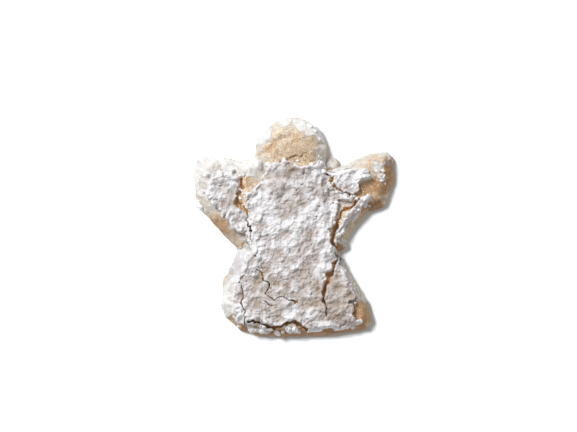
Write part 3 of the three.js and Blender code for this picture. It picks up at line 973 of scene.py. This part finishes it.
# %% The crust's height and maps
CRUST, THINNEST = 0.8, 0.35  # how thick the crust is, mostly and at the least
EDGE, STEEPEST_EDGE = 0.75, 0.12  # how wide its rounded edge is, mostly and beside a narrow split
POPPED, POPPED_SIZE, POPPED_BAND = 1.0, 1.9, (2.4, 0.6)  # the large lumps along a torn edge
PACKED_LEVEL = 0.5  # the height of packed lumps that counts as level
LIP, LIP_EDGE, LIP_PROUD = 1.3, 0.4, 0.08  # the bare lip beside a split: width, edge and height
LIP_REACH = 1.0  # how much of the lip's width the slab of crust holds
UNDER_PASTE = 0.8
# Painted shade on the tops of lumps, standing for the shade of their own grain; loose sugar takes it too.
LUMP_TOP_SHADE = 0.28  # how hollow the tops of lumps count, whose grain shades itself


def crust_relief(x, y):
    """The relief of the crust in millimetres, and its painted shade, deeper where the folds dip and
    between the packed lumps: soft folds of three sizes, and three sizes of packed lumps, which turn the
    lattice to hide its rows."""
    at = plan(x, y)
    askew = at @ ASKEW
    folds = 0.62 * noise(askew, 4.2, 111) + 0.58 * noise(at, 2.1, 112) + 0.32 * noise(askew, 1.15, 113)
    packed = 0.52 * lumps(askew, 1.35, 81) + 0.56 * lumps(at, 0.8, 91) + 0.34 * lumps(askew, 0.42, 101)
    relief = soft_max(CRUST + folds, THINNEST, 0.4) - CRUST + packed - PACKED_LEVEL
    # painted shade: darker low in the folds and between the packed lumps
    return relief, 0.7 * ramp(folds, 0.3, -0.8) + 0.65 * ramp(packed, 0.75, 0.3)


def crust_surface(x, y):
    """Height of the crust, how far inside it a place lies, and its maps. The height is the paste's,
    plus the layer rounded off at its torn edge as a quarter circle, less the split's depth. Large
    lumps stand along the torn edge. Beside a split, bare paste makes a lip."""
    base = paste_height(x, y)
    gap, half = splits_at(x, y, CRUST_SPLITS)
    inside = crust_depth(x, y)
    relief, painted_shade = crust_relief(x, y)
    popped = POPPED * lumps(plan(x, y) @ ASKEW, POPPED_SIZE, 121) * ramp(inside, *POPPED_BAND)
    edge = np.clip(np.minimum(inside / EDGE, gap / np.clip(half, STEEPEST_EDGE, EDGE)), 0, 1)
    layer = (CRUST + relief + popped) * np.sqrt(1 - (1 - edge) ** 2)
    cover = sugar_cover(x, y)
    bare_paste = LIP_PROUD + paste_relief(np.stack([x, y, base], axis=-1), cover)
    lip = mix(-UNDER_PASTE, bare_paste, ramp(gap, LIP, LIP - LIP_EDGE))
    height = base + np.where(inside > 0, layer, lip) - split_depth(gap, half)
    crusted = ramp(np.minimum(inside, gap), -0.02, 0.12)
    maps = {
        "sugar": mix(cover * ramp(gap, -0.1, 0.4), spotted(x, y, 1, THINNED), crusted),
        "brown": browning(x, y, height, gap),
        # painted shade: the spots of shade, the painted shade of lump tops, and more in the hollows away
        # from the torn edge
        "painted_shade": spotted_shade(x, y) + crusted * mix(LUMP_TOP_SHADE, 1, painted_shade * ramp(inside, 0, 1.4)),
    }
    return height, np.maximum(inside, LIP_REACH - gap), maps


print("the crust is", round(float(crust_surface(*NAVEL[:, None])[0][0]), 1), "mm high at the navel")


# %% The slab of crust
CELL = 0.13
BLOCK = 4  # fine cells along one side of a block
UNDERSIDE, LOWEST = 4.2, 0.4  # how far under the paste's top the slab ends, and its least height
print("a block of the slab is", round(CELL * BLOCK, 2), "mm wide")


def filled_corners(blocks):
    """Adds blocks so that none touch at a corner only, because the walls there would share an edge."""
    blocks = blocks.copy()
    for _ in range(4):
        a, b, c, d = blocks[:-1, :-1], blocks[:-1, 1:], blocks[1:, :-1], blocks[1:, 1:]
        crossed = (a & d & ~b & ~c) | (b & c & ~a & ~d)
        for quarter in (a, b, c, d):
            quarter |= crossed
    return blocks


def block_walls(blocks, fine, coarse, row_step, column_step):
    """Walls of the blocks on one side. A block's top edge has BLOCK + 1 points and its foot two, so
    the wall is a fan from the first foot point over half the edge, and from the second over the rest."""
    rows, columns = blocks.shape
    padded = np.pad(blocks, 1)
    beside = padded[1 + row_step:1 + row_step + rows, 1 + column_step:1 + column_step + columns]
    row, column = np.nonzero(blocks & ~beside)
    steps = np.arange(BLOCK + 1)
    if row_step:
        order = steps if row_step < 0 else steps[::-1]
        side = (row + (row_step > 0))[:, None]
        top = fine[side * BLOCK, column[:, None] * BLOCK + order]
        feet = coarse[side, column[:, None] + order[[0, -1]] // BLOCK]
    else:
        order = steps if column_step > 0 else steps[::-1]
        side = (column + (column_step > 0))[:, None]
        top = fine[row[:, None] * BLOCK + order, side * BLOCK]
        feet = coarse[row[:, None] + order[[0, -1]] // BLOCK, side]
    middle = BLOCK // 2
    fans = [np.stack([top[:, k + 1], top[:, k], feet[:, k // middle]], axis=-1) for k in range(BLOCK)]
    return np.concatenate([*fans, np.stack([feet[:, 0], feet[:, 1], top[:, middle]], axis=-1)])


def crust_slab(name, chosen, x, y, height, maps):
    """One closed slab from the chosen blocks: fine quads on top, one quad to a block beneath, and
    the walls of the four sides. Points that no face uses are left out."""
    block_corners = np.add(chosen.shape, 1)
    fine = np.arange(height.size).reshape(height.shape)
    coarse = height.size + np.arange(np.prod(block_corners)).reshape(block_corners)
    shown = np.kron(chosen, np.ones((BLOCK, BLOCK), bool))
    top = np.stack([fine[:-1, :-1], fine[:-1, 1:], fine[1:, 1:], fine[1:, :-1]], axis=-1)[shown]
    under = np.stack([coarse[:-1, :-1], coarse[1:, :-1], coarse[1:, 1:], coarse[:-1, 1:]], axis=-1)[chosen]
    walls = [block_walls(chosen, fine, coarse, *step) for step in ((-1, 0), (1, 0), (0, -1), (0, 1))]
    foot = np.maximum(paste_height(x, y) - UNDERSIDE, LOWEST)
    above = np.stack([x, y, height], axis=-1)
    below = np.stack([x, y, foot], axis=-1)[::BLOCK, ::BLOCK]
    points = np.concatenate([above.reshape(-1, 3), below.reshape(-1, 3)])
    values = {k: np.concatenate([v.ravel(), v[::BLOCK, ::BLOCK].ravel()]) for k, v in maps.items()}
    faces = [top, under, np.concatenate(walls)]
    used, places = np.unique(np.concatenate([f.ravel() for f in faces]), return_inverse=True)
    ends = np.cumsum([f.size for f in faces])[:-1]
    faces = [part.reshape(-1, f.shape[1]) for part, f in zip(np.split(places, ends), faces)]
    smooth = np.arange(sum(map(len, faces))) < len(top)
    return piece(name, points[used], faces, sugar_crust, {k: v[used] for k, v in values.items()}, smooth)


# %% Cutting the crust into the gown's and the wings'
OVER, FROM_SHORE = 0.35, 0.2  # how far the slab goes past the crust, and stays from the outline
start = np.floor(outline.min(axis=0)) - 1
blocks_across, blocks_up = np.ceil((outline.max(axis=0) + 1 - start) / (CELL * BLOCK)).astype(int)
points_across = start[0] + CELL * np.arange(blocks_across * BLOCK + 1)
points_up = start[1] + CELL * np.arange(blocks_up * BLOCK + 1)
x, y = np.meshgrid(points_across, points_up)
crust_height, crust_reach, crust_maps = crust_surface(x, y)


def blocks_where(mask):
    """Blocks in which any of the points is in the mask."""
    inner = mask[:-1, :-1].reshape(blocks_up, BLOCK, blocks_across, BLOCK)
    return inner.any(axis=(1, 3))


depths = patch_depths(x, y)
on_wing = np.maximum.reduce([depths[name] for name in depths if name != "gown"]) > depths["gown"]
kept = filled_corners(blocks_where((crust_reach > -OVER) & (outline_distance(x, y) < -FROM_SHORE)))
wing_blocks = kept & blocks_where(on_wing)
crust_slab("gown_crust", kept & ~wing_blocks, x, y, crust_height, crust_maps)
crust_slab("wing_crust", wing_blocks, x, y, crust_height, crust_maps)

# %% [markdown]
# ## Crumbs and loose powder
#
# Sugar broke off and lies about. The few large clumps have places of their own, as on the real
# cookie. Crumbs lie beside the torn edges and grains everywhere, at places drawn by chance and kept
# where the cookie would hold them. A particle system could strew them, but copies of one crumb look
# alike. So arrays bend each ball by noise, stretch it, turn it and set it down, and each kind is one
# mesh. The clumps are large enough to need a fine ball, and the others have few faces.

# %% Places and turns drawn by chance
TRIES = 60  # places tried for each one that is wanted
FROM_EDGE = 0.35  # how far inside the outline they lie


def ball(subdivisions):
    """Points and faces of a ball made of equal triangles."""
    mould = bmesh.new()
    bmesh.ops.create_icosphere(mould, subdivisions=subdivisions, radius=1)
    points = np.array([vertex.co for vertex in mould.verts])
    faces = np.array([[vertex.index for vertex in face.verts] for face in mould.faces])
    mould.free()
    return points, faces


def random_turns(chance, count):
    """Random turns as matrices, from random quaternions of length one."""
    quaternions = chance.normal(size=(4, count))
    w, x, y, z = quaternions / np.linalg.norm(quaternions, axis=0)
    rows = [
        [1 - 2 * (y * y + z * z), 2 * (x * y - z * w), 2 * (x * z + y * w)],
        [2 * (x * y + z * w), 1 - 2 * (x * x + z * z), 2 * (y * z - x * w)],
        [2 * (x * z - y * w), 2 * (y * z + x * w), 1 - 2 * (x * x + y * y)],
    ]
    return np.array(rows).transpose(2, 0, 1)


def drawn_places(chance, count, liking):
    """Places in plan drawn evenly over the cookie and kept with the likelihood that liking gives."""
    tries = chance.uniform(outline.min(axis=0), outline.max(axis=0), (count * TRIES, 2))
    x, y = tries.T
    kept = (outline_distance(x, y) < -FROM_EDGE) & (chance.random(len(tries)) < liking(x, y))
    return tries[kept][:count]


def drawn_radii(chance, count, least, spread, power):
    """Radii of which most are small: the least, plus the spread times a random share to a power."""
    return least + spread * chance.random(count) ** power


print("the balls have", [len(ball(subdivisions)[1]) for subdivisions in (1, 2, 4)], "faces")

# %% Scattering
STRETCH = (0.7, 1.3)
BENDS = 1.5  # how many bends of the noise go into a ball's radius
FAR = 99  # each ball takes its noise from a place of its own, up to this far off
LOOSE_BROWN = 0.3


def surface_height(x, y):
    """The higher of the paste and the crust."""
    return np.maximum(paste_height(x, y), crust_surface(x, y)[0])


def scattered(name, places, radii, subdivisions, sink, chance):
    """One mesh of many bent, turned balls: a ball's point times its bend, times a stretch, turned,
    times the radius, set at its place. With a sink of 0 a ball lies on the surface, with 1 its
    middle is level with it."""
    points, faces = ball(subdivisions)
    count = len(places)
    own = points[None] * BENDS + chance.uniform(-FAR, FAR, (count, 1, 3))
    bend = 0.68 + 0.33 * noise(own, 1.1, 121) + 0.45 * lumps(own, 0.7, 131)
    bent = points[None] * bend[..., None] * chance.uniform(*STRETCH, (count, 1, 3))
    turned = np.einsum("nij,npj->npi", random_turns(chance, count), bent) * radii[:, None, None]
    z = surface_height(*places.T) + radii * (1 - sink)
    spots = turned + np.concatenate([places, z[:, None]], axis=-1)[:, None]
    rows = (faces[None] + len(points) * np.arange(count)[:, None, None]).reshape(-1, 3)
    # the loose sugar takes the painted shade of lump tops
    looks = {"sugar": 1, "brown": LOOSE_BROWN, "painted_shade": LUMP_TOP_SHADE}
    shade = {label: np.full(count * len(points), value) for label, value in looks.items()}
    return piece(name, spots.reshape(-1, 3), [rows], loose_sugar, shade)


# %% Clumps
# x, y and radius of each
CLUMPS = {
    "left wing": [(-28.6, 7.0, 1.3), (-27.9, 6.1, 1.1)],
    "hem": [(-16.9, -29.7, 0.8), (-12.8, -30.3, 1.2), (-11.2, -30.7, 1.0), (-9.8, -31.1, 1.1),
            (-8.5, -31.4, 0.8), (-5.5, -31.5, 1.0), (-3.6, -31.4, 0.7), (-1.7, -31.0, 1.2),
            (-0.2, -30.5, 1.2), (1.0, -31.3, 0.8)],
    "right wing": [(25.0, 17.8, 0.6), (26.3, 16.7, 0.6), (26.5, 14.9, 0.5), (25.8, 13.6, 0.6),
                   (26.9, 12.8, 0.3), (24.5, 16.5, 0.5)],
    "head": [(2.6, 30.4, 0.9), (4.4, 29.6, 1.0), (6.0, 28.2, 0.9), (7.2, 26.2, 0.6)],
    "neck": [(7.6, 20.6, 0.6), (7.9, 18.9, 0.8), (8.5, 17.6, 1.0), (8.3, 16.1, 0.9)],
    "right band": [(20.8, 7.7, 0.5), (18.9, 4.9, 0.5), (16.4, 2.0, 0.4), (13.3, -2.6, 0.5)],
}
clumps = np.concatenate(list(CLUMPS.values()))
chance = np.random.default_rng(7)
scattered("sugar_clumps", clumps[:, :2], clumps[:, 2], subdivisions=4, sink=1.05, chance=chance)

# %% Crumbs and grains
CRUMBS, GRAINS = 200, 1500


def crumb_liking(x, y):
    """Crumbs lie beside the torn edges and on the sugared slopes."""
    inside = crust_depth(x, y)
    beside = ramp(inside, -1.6, -0.3) * ramp(inside, 0.5, 0)
    return np.clip(0.75 * beside + 0.55 * ramp(sugar_spots(x, y), 0.4, 0.9) * (inside < 0), 0, 1)


def grain_liking(x, y):
    """Grains lie everywhere, and more where there is sugar."""
    return mix(0.25, 1, ramp(sugar_spots(x, y), 0.2, 0.8))


places = drawn_places(chance, CRUMBS, crumb_liking)
radii = drawn_radii(chance, len(places), least=0.16, spread=0.52, power=2.2)
scattered("sugar_crumbs", places, radii, subdivisions=2, sink=1, chance=chance)

places = drawn_places(chance, GRAINS, grain_liking)
radii = drawn_radii(chance, len(places), least=0.06, spread=0.08, power=2)
scattered("powder_grains", places, radii, subdivisions=1, sink=0.5, chance=chance)

# %% [markdown]
# ## Floor, light and camera
#
# The cookie lies on plain white under a soft studio light from the upper left. A sun with a wide
# disc lights everything evenly, as a big lamp far away does, and a pale world fills the shadows. One
# sun can't both whiten the floor and keep the shading of the sugar, which is nearly as white. So
# Blender's light linking gives one sun to the cookie and another to the floor. The camera looks down
# almost straight, from far off, so the sides hardly spread.

# %% The floor
FLOOR_SIDE = 4.0
FLOOR_GAP = 0.02
FLOOR_GLOW = 0.08
FLOOR_COLOUR, FLOOR_ROUGH = (0.69, 0.73, 0.77, 1), 0.9


def floor():
    """A plain white sheet a hair below the cookie. It glows a little, which pales the shadow."""
    half = FLOOR_SIDE / 2
    mesh = bpy.data.meshes.new("floor")
    corners = [(-half, -half), (half, -half), (half, half), (-half, half)]
    mesh.from_pydata([(*corner, -FLOOR_GAP * MM) for corner in corners], [], [(0, 1, 2, 3)])
    white = bpy.data.materials.new("floor white")
    white.use_nodes = True
    shader = white.node_tree.nodes["Principled BSDF"]
    shader.inputs["Base Color"].default_value = FLOOR_COLOUR
    shader.inputs["Roughness"].default_value = FLOOR_ROUGH
    shader.inputs["Specular IOR Level"].default_value = 0.0
    shader.inputs["Emission Color"].default_value = (1, 1, 1, 1)
    shader.inputs["Emission Strength"].default_value = FLOOR_GLOW
    mesh.materials.append(white)
    made = bpy.data.objects.new("floor", mesh)
    bpy.context.scene.collection.objects.link(made)
    return made


floor_sheet = floor()
print("the floor is", round(floor_sheet.dimensions.x, 1), "m wide")

# %% The light
LIGHTS = {
    "key light": dict(toward=(-0.62, 0.78, 1.0), strength=3.65, width=24, on_floor=False),
    "floor light": dict(toward=(-0.27, 0.19, 1.0), strength=3.95, width=10, on_floor=True),
}
LIGHT_COLOUR = (0.97, 0.985, 1)
WORLD_COLOUR = (1, 0.9, 0.8, 1)
WORLD_STRENGTH = 0.33


def sunlight(name, toward, strength, width, on_floor):
    """A sun that shines from a direction, its disc as wide as that many degrees. It lights either
    the floor or the cookie."""
    sun = bpy.data.lights.new(name, "SUN")
    sun.energy = strength
    sun.color = LIGHT_COLOUR
    sun.angle = np.radians(width)
    lamp = bpy.data.objects.new(name, sun)
    lamp.rotation_euler = Vector(toward).to_track_quat("Z", "Y").to_euler()
    bpy.context.scene.collection.objects.link(lamp)
    lit = bpy.data.collections.new("lit by the " + name)
    for shown in bpy.context.scene.objects:
        if shown.type == "MESH" and (shown == floor_sheet) == on_floor:
            lit.objects.link(shown)
    lamp.light_linking.receiver_collection = lit


for name, settings in LIGHTS.items():
    sunlight(name, **settings)

world = bpy.data.worlds.new("studio")
world.use_nodes = True
background = world.node_tree.nodes["Background"].inputs
background["Color"].default_value = WORLD_COLOUR
background["Strength"].default_value = WORLD_STRENGTH
bpy.context.scene.world = world
bpy.context.scene.view_settings.view_transform = "Standard"

# %% The camera
AIM = np.array([-1.95, 3.3, 6.0])  # the place in the drawing that the picture's middle shows
DISTANCE = 800
ELEVATION = 87  # degrees above the floor
SENSOR, LENS = 36, 166
CLIP_START = 0.01  # metres

camera = bpy.data.cameras.new("camera")
camera.sensor_width, camera.lens = SENSOR, LENS
camera.clip_start = CLIP_START
eye = bpy.data.objects.new("camera", camera)
lean = np.radians(ELEVATION)
toward = Vector((0, -np.cos(lean), np.sin(lean)))
eye.location = Vector((AIM + to_frame) * MM) + toward * DISTANCE * MM
eye.rotation_euler = toward.to_track_quat("Z", "Y").to_euler()
bpy.context.scene.collection.objects.link(eye)
bpy.context.scene.camera = eye
print("the picture shows", round(DISTANCE * SENSOR / LENS), "mm across")
